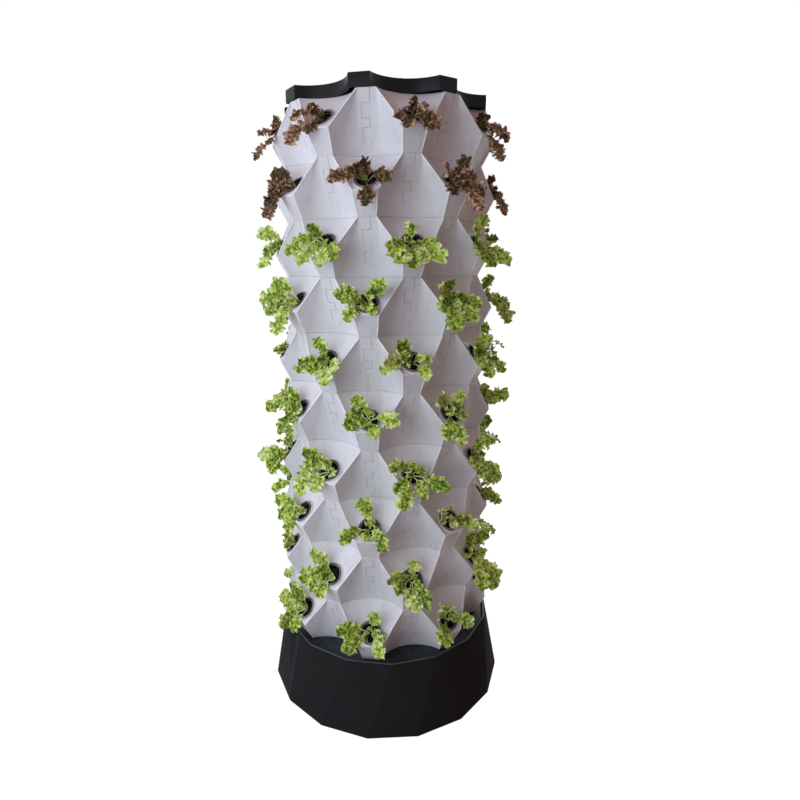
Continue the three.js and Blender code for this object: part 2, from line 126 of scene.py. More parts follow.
def makeFloor(user):
    half = user["floorSize"] / 2
    corners = [(-half, -half, 0), (half, -half, 0), (half, half, 0), (-half, half, 0)]
    surface = bpy.data.materials.new("studio_floor")
    tree = emptyTree(surface)
    spot = addNode(tree, "ShaderNodeTexCoord").outputs["Object"]
    reach = addNode(tree, "ShaderNodeVectorMath", {0: spot}, operation="LENGTH").outputs["Value"]
    level = mathNode(tree, "MAXIMUM", contrast(tree, reach, *user["floorFade"]), user["floorGlow"])
    level = mathNode(tree, "MULTIPLY", level, seenRays(tree))
    matt = addNode(tree, "ShaderNodeBsdfDiffuse", {"Color": user["floorColour"]})
    glow = addNode(tree, "ShaderNodeEmission", {"Strength": level})
    both = addNode(tree, "ShaderNodeAddShader", {0: matt, 1: glow})
    addNode(tree, "ShaderNodeOutputMaterial", {0: both})
    floor = showObject("studio_floor", makeMesh("studio_floor", corners, [(0, 1, 2, 3)], surface))


# Shared helpers


def place(direction, outwards, sideways, height):
    # direction 0 is -Y and grows towards +X
    s, c = sin(direction), cos(direction)
    return Vector((outwards * s + sideways * c, sideways * s - outwards * c, height))


def makeMesh(name, points, faces, material=None):
    mesh = bpy.data.meshes.new(name)
    mesh.from_pydata([tuple(p) for p in points], [], faces)
    mesh.update()
    if material:
        mesh.materials.append(material)
    return mesh


def showObject(name, data):
    thing = bpy.data.objects.new(name, data)
    bpy.context.scene.collection.objects.link(thing)
    return thing


def dropObject(thing):
    mesh = thing.data
    bpy.data.objects.remove(thing)
    if mesh and mesh.users == 0 and isinstance(mesh, bpy.types.Mesh):
        bpy.data.meshes.remove(mesh)


def cleaned(mesh, outwards=False):
    form, merge = bmesh.new(), 0.01 * mm
    form.from_mesh(mesh)
    bmesh.ops.remove_doubles(form, verts=form.verts, dist=merge)
    bmesh.ops.dissolve_degenerate(form, dist=merge, edges=form.edges)
    if outwards:
        bmesh.ops.recalc_face_normals(form, faces=form.faces)
    form.to_mesh(mesh)
    form.free()
    return mesh


def smoothed(mesh, angle=32):
    mesh.polygons.foreach_set("use_smooth", [True] * len(mesh.polygons))
    mesh.set_sharp_from_angle(angle=radians(angle))
    return mesh


def modify(thing, kind, **settings):
    modifier = thing.modifiers.new(kind.lower(), kind)
    for label, value in settings.items():
        setattr(modifier, label, value)
    return modifier


def evaluatedMesh(thing):
    # the mesh that the modifiers make, as plain data; the object itself goes
    bpy.context.view_layer.update()
    graph = bpy.context.evaluated_depsgraph_get()
    mesh = bpy.data.meshes.new_from_object(thing.evaluated_get(graph), depsgraph=graph)
    dropObject(thing)
    return mesh


def joinedMesh(name, parts):
    # parts are meshes or (mesh, matrix) pairs; their materials are kept
    whole = bmesh.new()
    slots = []
    for part in parts:
        mesh, matrix = part if isinstance(part, tuple) else (part, Matrix.Identity(4))
        copy = mesh.copy()
        copy.transform(matrix)
        for polygon in copy.polygons:
            material = mesh.materials[polygon.material_index]
            if material not in slots:
                slots.append(material)
            polygon.material_index = slots.index(material)
        whole.from_mesh(copy)
        bpy.data.meshes.remove(copy)
    mesh = bpy.data.meshes.new(name)
    whole.to_mesh(mesh)
    whole.free()
    for material in slots:
        mesh.materials.append(material)
    return mesh


def boxProfile(inner, outer, low, high):
    return [(inner, low), (outer, low), (outer, high), (inner, high)]


def turnedMesh(name, profile, steps, material):
    # a closed profile of (radius, height) turned round Z
    points, faces = [], []
    count = len(profile)
    for step in range(steps):
        turn = 2 * pi * step / steps
        points += [place(turn, radius, 0, height) for radius, height in profile]
    for step in range(steps):
        here, there = step * count, (step + 1) % steps * count
        for i in range(count):
            j = (i + 1) % count
            faces.append((here + i, there + i, there + j, here + j))
    return smoothed(cleaned(makeMesh(name, points, faces, material), outwards=True))


def bridge(faces, first, second, flip=False):
    for i in range(len(first)):
        j = (i + 1) % len(first)
        face = (first[i], first[j], second[j], second[i])
        faces.append(face[::-1] if flip else face)


def loftedMesh(name, rings, material=None):
    # a closed solid through rings of points
    faces, count = [], len(rings[0])
    places = [range(k * count, (k + 1) * count) for k in range(len(rings))]
    for first, second in zip(places, places[1:]):
        bridge(faces, first, second)
    faces += [tuple(places[0][::-1]), tuple(places[-1])]
    points = [spot for ring in rings for spot in ring]
    return cleaned(makeMesh(name, points, faces, material), outwards=True)


def cutWith(thing, cutter):
    modify(thing, "BOOLEAN", solver="EXACT", material_mode="TRANSFER", object=cutter)
    name = thing.name
    mesh = evaluatedMesh(thing)
    dropObject(cutter)
    return showObject(name, mesh)


# Nodes


def emptyTree(owner):
    owner.use_nodes = True
    owner.node_tree.nodes.clear()
    return owner.node_tree


def addNode(tree, kind, inputs=None, **settings):
    # inputs go by their socket's name or place: another socket, a node (its first output) or a plain value
    node = tree.nodes.new(kind)
    for label, value in settings.items():
        setattr(node, label, value)
    for label, value in (inputs or {}).items():
        if isinstance(value, bpy.types.Node):
            value = value.outputs[0]
        if isinstance(value, bpy.types.NodeSocket):
            tree.links.new(value, node.inputs[label])
        else:
            node.inputs[label].default_value = value
    return node


def groupInputs(labels):
    return {label: ("Color", (1, 1, 1, 1)) if "Color" in label else ("Float", 1) for label in labels}


def newTree(name, family, inputs, outputs):
    # returns the tree and its given sockets; inputs are {label: (kind, value)}, outputs are {label: kind}
    tree = bpy.data.node_groups.new(name, family + "NodeTree")
    for label, (kind, value) in inputs.items():
        socket = tree.interface.new_socket(label, in_out="INPUT", socket_type="NodeSocket" + kind)
        if value is not None:
            socket.default_value = value
    for label, kind in outputs.items():
        tree.interface.new_socket(label, in_out="OUTPUT", socket_type="NodeSocket" + kind)
    return tree, addNode(tree, "NodeGroupInput").outputs


def mathNode(tree, operation, *values):
    return addNode(tree, "ShaderNodeMath", dict(enumerate(values)), operation=operation).outputs[0]


def weighed(tree, *pairs):
    # the sum of each value times its weight
    total = 0
    for value, weight in pairs:
        total = mathNode(tree, "MULTIPLY_ADD", value, weight, total)
    return total


def mixColour(tree, share, first, second):
    inputs = {"Factor": share, "A": first, "B": second}
    return addNode(tree, "ShaderNodeMix", inputs, data_type="RGBA").outputs["Result"]


def noise(tree, spot, scale, detail=4):
    inputs = {"Vector": spot, "Scale": scale, "Detail": detail, "Roughness": 0.55}
    return addNode(tree, "ShaderNodeTexNoise", inputs).outputs["Fac"]


def contrast(tree, value, low, high):
    inputs = {"Value": value, "From Min": low, "From Max": high}
    return addNode(tree, "ShaderNodeMapRange", inputs, interpolation_type="SMOOTHSTEP").outputs["Result"]


# Materials


plasticInputs = (
    "Base Color", "Mark And Sheen Color", "Blotch Scale", "Blotch Amount", "Run Amount", "Speck Amount", "Roughness",
)


plasticPattern = {
    "blotchEdge": (0.42, 0.72),
    "runStretch": (60, 60, 3),
    "runEdge": (0.5, 0.75),
    "speckSize": 260,
    "speckEdge": (0.63, 0.74),
    "grainSize": 900,
    "glossChange": (0.16, 0.18),  # what the grain and the marks add to the roughness
}


def mouldedPlasticGroup(user):
    # blotches, run marks and a fine grain for moulded plastic; on the tank, the second colour's broad, warm,
    # lighter blotches are painted sheen
    outputs = {"Color": "Color", "Roughness": "Float", "Height": "Float"}
    group, given = newTree("mouldedPlastic", "Shader", groupInputs(plasticInputs), outputs)
    spot = addNode(group, "ShaderNodeTexCoord").outputs["Object"]
    upright = addNode(group, "ShaderNodeMapping", {"Vector": spot, "Scale": user["runStretch"]})
    blotches = contrast(group, noise(group, spot, given["Blotch Scale"]), *user["blotchEdge"])
    runs = contrast(group, noise(group, upright, 1, 5), *user["runEdge"])
    specks = contrast(group, noise(group, spot, user["speckSize"], 2), *user["speckEdge"])
    marks = ((blotches, given["Blotch Amount"]), (runs, given["Run Amount"]), (specks, given["Speck Amount"]))
    share = mathNode(group, "MINIMUM", weighed(group, *marks), 1)
    fine = noise(group, spot, user["grainSize"], 2)
    grain = mathNode(group, "SUBTRACT", fine, 0.5)
    changes = zip((grain, share), user["glossChange"])
    made = {
        "Color": mixColour(group, share, given["Base Color"], given["Mark And Sheen Color"]),
        "Roughness": weighed(group, *changes, (given["Roughness"], 1)),
        "Height": fine,
    }
    addNode(group, "NodeGroupOutput", made)
    return group


def namedRows(labels, rows):
    return {name: dict(zip(labels, row)) for name, row in rows.items()}


def makeFinishes(group, finishes, common):
    # a finish holds values for the group, and may have its own in place of the common ones
    made = {}
    for name, finish in finishes.items():
        shared = {label: finish.get(label, value) for label, value in common.items()}
        made[name] = bpy.data.materials.new(name)
        tree = emptyTree(made[name])
        own = {label: value for label, value in finish.items() if label not in common}
        node = addNode(tree, "ShaderNodeGroup", own, node_tree=group)
        relief = {"Strength": shared["bump"], "Distance": shared["bumpHeight"]}
        relief["Height"] = node.outputs["Height"]
        surface = {
            "Base Color": node.outputs["Color"],
            "Roughness": node.outputs.get("Roughness", shared.get("roughness")),
            "Specular IOR Level": shared["specular"],
            "Normal": addNode(tree, "ShaderNodeBump", relief),
        }
        shader = addNode(tree, "ShaderNodeBsdfPrincipled", surface)
        addNode(tree, "ShaderNodeOutputMaterial", {"Surface": shader})
    return made


plasticCommon = {"specular": 0.4, "bump": 0.12, "bumpHeight": 0.4 * mm}
plasticRows = {
    # the inputs above, then the specular level
    "towerWhite": ((0.77, 0.765, 0.79, 1), (0.62, 0.6, 0.6, 1), 7, 0.3, 0.42, 0.12, 0.34, 0.4),
    "towerEdgeHighlight": ((0.94, 0.935, 0.96, 1), (0.74, 0.73, 0.75, 1), 22, 0.6, 0.1, 0.1, 0.3, 0.4),  # painted highlight: a lighter white than the tower's, so the rounded edges show as bright lines; a little glossier
    "jointShadow": ((0.36, 0.35, 0.36, 1), (0.72, 0.71, 0.74, 1), 34, 1, 0, 0.1, 0.7, 0.4),
    # the tank's second colour, warmer and lighter, in broad blotches: painted reddish sheen
    "tankBlack": ((0.0205, 0.0215, 0.0222, 1), (0.027, 0.0225, 0.0225, 1), 2.6, 0.8, 0.25, 0.2, 0.75, 0.02),
    "deckTeal": ((0.018, 0.026, 0.03, 1), (0.06, 0.078, 0.088, 1), 60, 0.6, 0, 0.8, 0.5, 0.25),
    "capBlack": ((0.005, 0.0055, 0.006, 1), (0.012, 0.015, 0.015, 1), 6, 0.4, 0.1, 0.1, 0.3, 0.1),
    # a lighter grey than the tank: painted highlight on the tank's rim bead and parting lines
    "rimHighlightGrey": ((0.045, 0.049, 0.053, 1), (0.018, 0.019, 0.02, 1), 12, 0.8, 0.3, 0.1, 0.42, 0.3),
    "netCupBlack": ((0.006, 0.0065, 0.008, 1), (0.016, 0.017, 0.02, 1), 80, 0.4, 0.3, 0.1, 0.27, 0.45),
    # light grey rings on the black cup: painted highlight on its rim and inner edges
    "cupEdgeHighlight": ((0.3, 0.305, 0.32, 1), (0.2, 0.205, 0.215, 1), 40, 0.6, 0.3, 0.1, 0.3, 0.5),
    "plugFoam": ((0.008, 0.0065, 0.006, 1), (0.035, 0.028, 0.02, 1), 300, 0.7, 0.3, 0.5, 0.9, 0.1),
    "pipeGrey": ((0.58, 0.585, 0.6, 1), (0.4, 0.39, 0.37, 1), 14, 0.4, 0.4, 0.1, 0.35, 0.4),
    "pumpBlack": ((0.014, 0.016, 0.02, 1), (0.04, 0.042, 0.045, 1), 50, 0.5, 0.3, 0.3, 0.45, 0.4),
    "impellerNylon": ((0.55, 0.52, 0.42, 1), (0.4, 0.36, 0.27, 1), 60, 0.5, 0.3, 0.1, 0.4, 0.4),
}
plastics = namedRows((*plasticInputs, "specular"), plasticRows)
plastics["plugFoam"]["bump"] = 0.8
foliageCommon = {"specular": 0.15, "bump": 1, "bumpHeight": 3 * mm, "roughness": 0.45}
# the deep colour is the leaf's darkest green and also painted shade in its gaps and hollows; the lightest
# colour is its lighter rim and also painted highlight
foliageInputs = ("Deep And Shade Color", "Leaf Color", "Pale And Highlight Color", "Stalk Color")
foliageRows = {
    "lettuceGreen": ((0.06, 0.14, 0.001, 1), (0.52, 0.69, 0.06, 1), (0.92, 1, 0.52, 1), (0.6, 0.72, 0.3, 1)),
    "lettuceBronze": (
        (0.024, 0.01, 0.003, 1), (0.22, 0.104, 0.048, 1), (0.8, 0.5, 0.35, 1), (0.25, 0.27, 0.09, 1),
    ),
}
foliages = namedRows(foliageInputs, foliageRows)
leafPattern = {
    "crinkles": (130, 3),  # size and detail
    "clouds": (45, 2),
    "veins": 9,
    "veinSlant": 3.4,
    "veinEdge": (0.42, 0.05),
    "midribEdge": (0.12, 0.02),
    "stalkEdge": (0.4, 0.2),
    "ribStrength": 0.4,
    # how much of the light colours the leaf's edge, the crinkles, the clouds and the leaf's own tone bring;
    # the crinkles paint highlights on crests and shade in hollows at random, and the lighter edge is partly
    # the leaf's own lighter rim and partly painted light on the frills
    "weights": (0.5, 2, 0.9, 0.3),
    "leafFrom": (1.55, 1.88),
    "paleAndHighlightFrom": (1.85, 2.25),
}


def foliageGroup(user):
    # "along" runs from stalk to tip, "across" is 1 at the leaf's edge and "tone" is one number for a leaf
    outputs = {"Color": "Color", "Height": "Float"}
    group, given = newTree("foliage", "Shader", groupInputs(foliageInputs), outputs)
    spot = addNode(group, "ShaderNodeTexCoord").outputs["Object"]
    along, across, tone = (
        addNode(group, "ShaderNodeAttribute", attribute_name=name).outputs["Fac"]
        for name in ("along", "across", "tone")
    )
    crinkle, cloudy = noise(group, spot, *user["crinkles"]), noise(group, spot, *user["clouds"])
    phase = weighed(group, (along, user["veins"] * pi), (across, -user["veinSlant"] * pi))
    vein = contrast(group, mathNode(group, "ABSOLUTE", mathNode(group, "SINE", phase)), *user["veinEdge"])
    ribs = mathNode(group, "MAXIMUM", vein, contrast(group, across, *user["midribEdge"]))
    ribs = mathNode(group, "MULTIPLY", ribs, user["ribStrength"])
    ribs = mathNode(group, "MAXIMUM", ribs, contrast(group, along, *user["stalkEdge"]))
    # besides the leaf's own colours, the darkest shares paint shade and the lightest paint highlights
    share = weighed(group, *zip((across, crinkle, cloudy, tone), user["weights"]))
    leaf, paleAndHighlight = contrast(group, share, *user["leafFrom"]), contrast(group, share, *user["paleAndHighlightFrom"])
    colour = mixColour(group, leaf, given["Deep And Shade Color"], given["Leaf Color"])
    colour = mixColour(group, paleAndHighlight, colour, given["Pale And Highlight Color"])
    colour = mixColour(group, ribs, colour, given["Stalk Color"])
    addNode(group, "NodeGroupOutput", {"Color": colour, "Height": weighed(group, (ribs, 0.5), (crinkle, 1))})
    return group


# Tiers

tier = {
    "count": 10,
    "looseCount": 5,  # tiers from the top whose cups lift out
    "bronzeCount": 2,
    "pockets": 8,
    "pitch": 140 * mm,
    "gap": 0.3 * mm,
    "wall": 5 * mm,
    "deckHeight": 173 * mm,
    "flatRadius": 266.5 * mm,
    "flatWidth": 46 * mm,
    "hollowRadius": 216 * mm,
    "lipRadius": 292.5 * mm,
    "lipWidth": 61.5 * mm,
    "lipDrop": 85 * mm,
    "cupFromLip": 33 * mm,
    "rimStandOff": 1.476 * mm,
    "arcSteps": 24,
    "recessRows": 6,
    "creaseAngle": 7,
    "beadCrease": 50,
    "chamfer": 1.1 * mm,
    "ledge": 0.9 * mm,  # the bottom edge stands back from the rim below it
    "beadRadius": 2.2 * mm,
    "holeRadius": 27 * mm,
    "holeReach": 30 * mm,
    "holeSides": 48,
    "collarRadius": 31.6 * mm,
    "collarRise": 2.2 * mm,
    # the seam between two segments: sideways places of its strokes and shares of the height where they change
    "seamPlaces": (7 * mm, -13.5 * mm, 4.5 * mm, -12.5 * mm, 7 * mm),
    "seamShares": (0, 0.213, 0.433, 0.574, 0.78, 1),
    "seamWidth": 0.95 * mm,
    "seamDepth": 1 * mm,
}
pockets = range(tier["pockets"])
halfStep = pi / len(pockets)
tierHeight = tier["pitch"] - tier["gap"]
lipHeight = tierHeight - tier["lipDrop"]
scoopRun = tier["lipRadius"] - tier["hollowRadius"]
cupTilt = atan2(tier["lipDrop"], scoopRun)


def arcOfOutline(inset, steps=1):
    # radius, centre and angles of points of the arc between two flats, for an outline drawn in by inset
    toCorner = hypot(tier["flatRadius"], tier["flatWidth"] / 2)
    cornerAngle = halfStep - atan2(tier["flatWidth"] / 2, tier["flatRadius"])
    halfChord = toCorner * sin(cornerAngle)
    sag = toCorner * cos(cornerAngle) - tier["hollowRadius"]
    outerRadius = (halfChord**2 + sag**2) / (2 * sag)
    centre = tier["hollowRadius"] + outerRadius
    radius = outerRadius + inset
    toFlat = centre * cos(halfStep) - (tier["flatRadius"] - inset)
    alongFlat = sqrt(radius**2 - toFlat**2)
    halfAngle = pi / 2 - halfStep - atan2(toFlat, alongFlat)
    return radius, centre, [halfAngle * (2 * step / steps - 1) for step in range(steps + 1)]


def arcPoints(direction, inset, height, steps):
    radius, centre, angles = arcOfOutline(inset, steps)
    return [place(direction, centre - radius * cos(a), radius * sin(a), height) for a in angles]


def rulings(inset, half):
    # sideways places of the arc's points, held between -half and half
    radius, _, angles = arcOfOutline(inset, tier["arcSteps"])
    return [max(-half, min(half, radius * sin(a))) for a in angles]


def topRing(inset, height):
    # arc points, then the points where the recess's rulings meet the flat that follows, for every pocket
    half = tier["flatWidth"] / 2
    shares = [(sideways + half) / (2 * half) for sideways in rulings(0, half)]
    ring = []
    for i in pockets:
        arc = arcPoints(2 * i * halfStep, inset, height, tier["arcSteps"])
        after = arcPoints(2 * (i + 1) * halfStep, inset, height, tier["arcSteps"])[0]
        ring += arc + [arc[-1].lerp(after, share) for share in shares]
    return ring


def turnedRing(inset, height, steps):
    # the arcs of the outline turned by half a pocket, as at a tier's bottom and in the cap
    ring = []
    for i in pockets:
        ring += arcPoints((2 * i + 1) * halfStep, inset, height, steps)
    return ring


def tierSkin(points, faces, inset, top, bottom, outwards):
    # one skin of a tier; returns the places in points of its top and bottom ring
    count, rows = tier["arcSteps"] + 1, tier["recessRows"] if outwards else 1
    firstTop = len(points)
    points += topRing(inset, top)
    firstBottom = len(points)
    points += turnedRing(inset + (tier["ledge"] if outwards else 0), bottom, tier["arcSteps"])
    firstLip = len(points)
    for i in pockets:
        for sideways in rulings(inset, (tier["lipWidth"] - inset) / 2):
            points.append(place(2 * i * halfStep, tier["lipRadius"] - inset, sideways, lipHeight))

    def run(start):
        return list(range(start, start + count))

    def add(face):
        faces.append(face if outwards else face[::-1])

    for i in pockets:
        arc, flat = run(firstTop + 2 * i * count), run(firstTop + (2 * i + 1) * count)
        lip, low = run(firstLip + i * count), run(firstBottom + i * count)
        lowBefore = firstBottom + (i - 1) % len(pockets) * count + count - 1
        lipAfter = firstLip + (i + 1) % len(pockets) * count
        ladders = []
        for high, foot in zip(flat, low):
            between = list(range(len(points), len(points) + rows - 1))
            points += [points[high].lerp(points[foot], row / rows) for row in range(1, rows)]
            ladders.append([high, *between, foot])
        for k in range(count - 1):
            add((lip[k], lip[k + 1], arc[k + 1], arc[k]))
            here, there = ladders[k], ladders[k + 1]
            for row in range(rows):
                add((here[row], here[row + 1], there[row + 1], there[row]))
        add((arc[-1], lip[-1], *ladders[0][:0:-1]))
        add((*ladders[-1], lipAfter))
        add((lip[0], lowBefore, low[0], *lip[:0:-1]))
    return list(range(firstTop, firstBottom)), list(range(firstBottom, firstLip))


def tierShell(material):
    points, faces = [], []
    edge = tier["chamfer"]
    outerTop, outerBottom = tierSkin(points, faces, 0, tierHeight - edge, edge, True)
    innerTop, innerBottom = tierSkin(points, faces, tier["wall"], tierHeight, 0, False)
    crown = list(range(len(points), len(points) + len(outerTop)))
    points += topRing(edge, tierHeight)
    foot = list(range(len(points), len(points) + len(outerBottom)))
    points += turnedRing(tier["ledge"] + edge, 0, tier["arcSteps"])
    bridge(faces, outerTop, crown)
    bridge(faces, crown, innerTop)
    bridge(faces, outerBottom, foot, flip=True)
    bridge(faces, foot, innerBottom, flip=True)
    return cleaned(makeMesh("tier_shell", points, faces, material))


def recessPoint(direction, sideways, share):
    # a point of the recess's middle strip, from 0 at its top to 1 at its bottom
    radius, centre, _ = arcOfOutline(0)
    top = place(direction, tier["flatRadius"], sideways, tierHeight)
    bottom = place(direction, centre - sqrt(radius**2 - sideways**2), sideways, 0)
    return top.lerp(bottom, share)


def seamCutters(material):
    # a thin stepped ribbon through the skin of every recess
    length = (recessPoint(0, 0, 0) - recessPoint(0, 0, 1)).length
    places, shares = tier["seamPlaces"], tier["seamShares"]
    path = []
    for i, sideways in enumerate(places):
        path += [Vector((sideways, shares[i] * length)), Vector((sideways, shares[i + 1] * length))]
    path[0].y -= 4 * mm
    path[-1].y += 4 * mm
    half, above, below = tier["seamWidth"] / 2, 3 * mm, -tier["seamDepth"]
    sides = []
    for i, spot in enumerate(path):
        before = (spot - path[i - 1]).normalized() if i else (path[1] - spot).normalized()
        after = (path[i + 1] - spot).normalized() if i < len(path) - 1 else before
        normals = [Vector((-d.y, d.x)) for d in (before, after)]
        corner = (normals[0] + normals[1]) / (1 + normals[0].dot(normals[1])) * half
        sides.append((spot + corner, spot - corner))
    lean = tier["flatRadius"] - tier["hollowRadius"]
    ribbons = []
    for i in pockets:
        direction = (2 * i + 1) * halfStep
        normal = place(direction, tierHeight, 0, -lean).normalized()
        rings = []
        for left, right in sides:
            corners = ((left, above), (right, above), (right, below), (left, below))
            rings.append([recessPoint(direction, c.x, c.y / length) + normal * rise for c, rise in corners])
        ribbons.append(loftedMesh("seam", rings, material))
    return showObject("seam_cutters", joinedMesh("seam_cutters", ribbons))


def pocketMatrix(i, standOff=0):
    # from a cup's own upright frame into pocket i of a tier at the origin
    slope = hypot(scoopRun, tier["lipDrop"])
    seat = place(
        0,
        tier["lipRadius"] - tier["cupFromLip"] * scoopRun / slope,
        0,
        lipHeight + tier["cupFromLip"] * tier["lipDrop"] / slope,
    )
    axis = Vector((0, -sin(cupTilt), cos(cupTilt)))
    return (
        Matrix.Rotation(2 * i * halfStep, 4, "Z")
        @ Matrix.Translation(seat + axis * standOff)
        @ Matrix.Rotation(cupTilt, 4, "X")
    )


def tierMatrix(number):
    height = tier["deckHeight"] + tier["gap"] + (tier["count"] - number) * tier["pitch"]
    return Matrix.Translation((0, 0, height)) @ Matrix.Rotation(number % 2 * halfStep, 4, "Z")


def holeCutters(material):
    profile = boxProfile(0, tier["holeRadius"], -tier["holeReach"], tier["holeReach"])
    plug = turnedMesh("hole", profile, tier["holeSides"], material)
    parts = [(plug, pocketMatrix(i)) for i in pockets]
    return showObject("hole_cutters", joinedMesh("hole_cutters", parts))


def ridgeBeads(material):
    # rounded edges along the ridges, lips and prows
    routes = []
    sink = tier["beadRadius"] * 0.55
    for i in pockets:
        direction = 2 * i * halfStep
        arc = arcPoints(direction, sink, tierHeight - tier["beadRadius"], 1)
        lowBefore = arcPoints(direction - halfStep, sink + tier["ledge"], tier["beadRadius"], 1)[1]
        lowAfter = arcPoints(direction + halfStep, sink + tier["ledge"], tier["beadRadius"], 1)[0]
        half = tier["lipWidth"] / 2 - sink
        left, right = (place(direction, tier["lipRadius"] - sink, side, lipHeight) for side in (-half, half))
        routes += [[arc[0], left, right, arc[1]], [left, lowBefore], [right, lowAfter]]
    return bead("ridge_beads", routes, False, tier["beadRadius"], material)


# Geometry Nodes trees


def newShapeTree(name, inputs):
    inputs = {"Geometry": ("Geometry", None)} | inputs | {"Finish": ("Material", None)}
    return newTree(name, "Geometry", inputs, {"Geometry": "Geometry"})


def finishTree(tree, given, geometry):
    # every tree ends in Realize Instances and Set Material
    real = addNode(tree, "GeometryNodeRealizeInstances", {"Geometry": geometry})
    coat = addNode(tree, "GeometryNodeSetMaterial", {"Geometry": real, "Material": given["Finish"]})
    addNode(tree, "NodeGroupOutput", {"Geometry": coat})
    return tree


def runTree(thing, tree, values):
    modifier = modify(thing, "NODES", node_group=tree)
    for item in tree.interface.items_tree:
        if item.in_out == "INPUT" and item.name in values:
            modifier[item.identifier] = values[item.name]


@cache
def sweepTree():
    # a round bead along every curve
    tree, given = newShapeTree("sweepBead", {"Bead Radius": ("Float", 1 * mm), "Bead Sides": ("Int", 8)})
    circle = {"Radius": given["Bead Radius"], "Resolution": given["Bead Sides"]}
    ring = addNode(tree, "GeometryNodeCurvePrimitiveCircle", circle)
    inputs = {"Curve": given["Geometry"], "Profile Curve": ring, "Fill Caps": True}
    sweep = addNode(tree, "GeometryNodeCurveToMesh", inputs)
    return finishTree(tree, given, addNode(tree, "GeometryNodeSetShadeSmooth", {"Geometry": sweep}))


@cache
def spokeTree():
    # copies of one rib set round Z
    tree, given = newShapeTree("ribsAroundAxis", {"Rib Count": ("Int", 12)})
    share = mathNode(tree, "DIVIDE", addNode(tree, "GeometryNodeInputIndex").outputs[0], given["Rib Count"])
    spin = addNode(tree, "ShaderNodeCombineXYZ", {"Z": mathNode(tree, "MULTIPLY", share, 2 * pi)})
    dots = addNode(tree, "GeometryNodePoints", {"Count": given["Rib Count"]})
    inputs = {"Points": dots, "Instance": given["Geometry"], "Rotation": spin}
    return finishTree(tree, given, addNode(tree, "GeometryNodeInstanceOnPoints", inputs))


@cache
def leafTree():
    # crumples flat leaves with a smooth noise that grows from the stalk to the tip
    inputs = {"Crumple": ("Float", 2 * mm), "Crumple Scale": ("Float", 40), "Seed": ("Float", 3)}
    tree, given = newShapeTree("crumpleLeaves", inputs)
    along = addNode(tree, "GeometryNodeInputNamedAttribute", {"Name": "along"}, data_type="FLOAT")
    amount = mathNode(tree, "MULTIPLY", along.outputs["Attribute"], given["Crumple"])
    inputs = {"W": given["Seed"], "Scale": given["Crumple Scale"], "Detail": 1}
    inputs["Vector"] = addNode(tree, "GeometryNodeInputPosition")
    wave = addNode(tree, "ShaderNodeTexNoise", inputs, noise_dimensions="4D").outputs["Color"]
    centred = addNode(tree, "ShaderNodeVectorMath", {0: wave, 1: (0.5, 0.5, 0.5)}, operation="SUBTRACT")
    sized = addNode(tree, "ShaderNodeVectorMath", {0: centred, "Scale": amount}, operation="SCALE")
    inputs = {"Geometry": given["Geometry"], "Offset": sized}
    return finishTree(tree, given, addNode(tree, "GeometryNodeSetPosition", inputs))


# Net cups

netCup = {
    "rimRadius": 28.5 * mm,
    "mouthRadius": 25 * mm,
    "baseRadius": 18.5 * mm,
    "depth": 50 * mm,
    "rim": 2.8 * mm,
    "wall": 1.6 * mm,
    "ribs": 16,
    "ribWidth": 1.5 * mm,
    "ribDepth": 1.5 * mm,
    "plugDepth": 7 * mm,
    "plugRadius": 19 * mm,
    "steps": 48,
    # radius and height of the light grey rings that paint highlights on the cup's edges
    "edges": ((27.9 * mm, 2.7 * mm), (24.9 * mm, 2.7 * mm), (22.6 * mm, -4 * mm)),
    "highlightRingWidth": 1.1 * mm,
}


def makeNetCup(user, materials):
    rim, mouth, base = user["rimRadius"], user["mouthRadius"], user["baseRadius"]
    deep, thick, wall = -user["depth"], user["rim"], user["wall"]
    groove = thick - 1.1 * mm
    profile = [
        (0, deep), (base, deep), (mouth, -1 * mm), (mouth + 0.3 * mm, 0.1 * mm),
        (rim - 0.6 * mm, 0.1 * mm), (rim, 0.7 * mm), (rim, thick - 0.6 * mm), (rim - 0.6 * mm, thick),
        (rim - 1.6 * mm, thick), (rim - 2 * mm, groove), (rim - 3.2 * mm, groove), (rim - 3.6 * mm, thick),
        (mouth - 0.6 * mm, thick), (mouth - wall, thick - 1 * mm), (mouth - wall - 1.2 * mm, -6 * mm),
        (base - wall, deep + wall), (0, deep + wall),
    ]
    cup = turnedMesh("net_cup", profile, user["steps"], materials["netCupBlack"])
    # one inner rib, leaning with the wall
    half, reach = user["ribWidth"] / 2, user["ribDepth"]
    top, low = mouth - wall - 0.6 * mm, base - wall + 0.2 * mm
    section = ((0, -half), (0, half), (reach, half), (reach, -half))
    ends = ((low, deep + 1 * mm), (top, -3 * mm))
    rings = [[place(0, radius - back, side, height) for back, side in section] for radius, height in ends]
    rib = showObject("rib", loftedMesh("rib", rings))
    runTree(rib, spokeTree(), {"Rib Count": user["ribs"], "Finish": materials["netCupBlack"]})
    ribs = evaluatedMesh(rib)
    radius, height = user["plugRadius"], -user["plugDepth"]
    plugProfile = [
        (0, height - 22 * mm), (radius - 3 * mm, height - 22 * mm), (radius, height - 1.5 * mm),
        (radius - 1.5 * mm, height), (4 * mm, height + 0.6 * mm), (0, height - 2 * mm),
    ]
    parts = [cup, ribs, turnedMesh("plug", plugProfile, user["steps"], materials["plugFoam"])]
    # thin light grey rings: painted highlight on the cup's rim and inner wall
    half = user["highlightRingWidth"] / 2
    for radius, height in user["edges"]:
        loop = boxProfile(radius - half, radius + half, height - half, height + half)
        parts.append(turnedMesh("edge", loop, user["steps"], materials["cupEdgeHighlight"]))
    return joinedMesh("planted_net_cup", parts)


